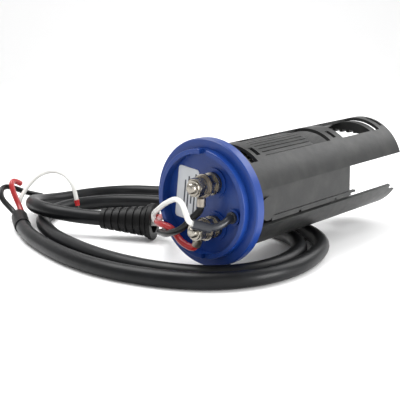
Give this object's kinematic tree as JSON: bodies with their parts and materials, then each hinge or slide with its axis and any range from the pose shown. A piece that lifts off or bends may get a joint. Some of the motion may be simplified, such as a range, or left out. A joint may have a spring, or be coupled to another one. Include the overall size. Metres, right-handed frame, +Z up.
{
  "type": "pool chlorinator cell",
  "caption": "Salt-water chlorinator electrode cell: flanged end cap with threaded terminals, slotted cage round electrode plates, and a loose multi-core lead with a strain-relief boot.",
  "frame": {"origin": "centre of the end cap's sealing face, on the cell's axis", "axes": "+Y along the cell's axis from the cap into the housing, +Z up as the cell lies, +X to the right seen from the cap's front"},
  "size_m": [0.3338, 0.2781, 0.1015],
  "materials": {
    "cap_blue": "satin moulded plastic",
    "seal_rubber": "matte",
    "sensor_plastic": "semi-gloss",
    "label_white": "satin film",
    "label_ink": "printed bars",
    "steel_hardware": "bright stainless steel",
    "tinned_lug": "tinned copper",
    "titanium": "bare titanium",
    "coated_titanium": "dark metal-oxide coating",
    "cage_grey": "weathered moulded plastic",
    "boot_black": "moulded rubber",
    "jacket_black": "smooth extruded jacket",
    "sleeve_black": "shrunk tubing",
    "wire_red": "PVC insulation",
    "wire_black": "PVC insulation",
    "wire_white": "PVC insulation"
  },
  "bodies": {
    "cell": {"anode_bus_bar": "titanium", "anode_plates": "coated_titanium", "base_washers": "steel_hardware", "black_conductor": "wire_black", "cap_oring": "seal_rubber", "cathode_bus_bar": "titanium", "cathode_plates": "titanium", "clamp_washers": "steel_hardware", "end_cap": "cap_blue", "end_sleeve": "sleeve_black", "far_black": "wire_black", "far_ferrule": "wire_red", "far_pin": "steel_hardware", "far_red": "wire_red", "far_white": "wire_white", "front_comb": "cage_grey", "guide_rail_left": "cage_grey", "guide_rail_right": "cage_grey", "inner_nuts": "steel_hardware", "label_bars": "label_ink", "label_plate": "label_white", "lead": "jacket_black", "lead_boot": "boot_black", "lower_shell": "cage_grey", "lower_washer": "steel_hardware", "middle_comb": "cage_grey", "rear_comb": "cage_grey", "red_conductor": "wire_red", "ring_lug_lower": "tinned_lug", "ring_lug_upper": "tinned_lug", "sensor_grommet": "sensor_plastic", "sensor_probe": "titanium", "sensor_tail": "wire_white", "sensor_wire": "wire_white", "side_boss_left": "cage_grey", "side_boss_right": "cage_grey", "side_wall_left": "cage_grey", "side_wall_right": "cage_grey", "splice_sleeve": "sensor_plastic", "stud_seals": "seal_rubber", "terminal_studs": "steel_hardware", "upper_shell": "cage_grey", "upper_washer": "steel_hardware"},
    "upper_nut": {"upper_nut": "steel_hardware"},
    "lower_nut": {"lower_nut": "steel_hardware"}
  },
  "joints": [
    {"name": "upper_nut_turn", "type": "hinge", "parent": "cell", "child": "upper_nut", "pos_m": [0.008, -0.03, 0.016], "axis": [0, -1, 0], "range_deg": [0, 720]},
    {"name": "lower_nut_turn", "type": "hinge", "parent": "cell", "child": "lower_nut", "pos_m": [0.008, -0.03, -0.016], "axis": [0, -1, 0], "range_deg": [0, 720]}
  ]
}
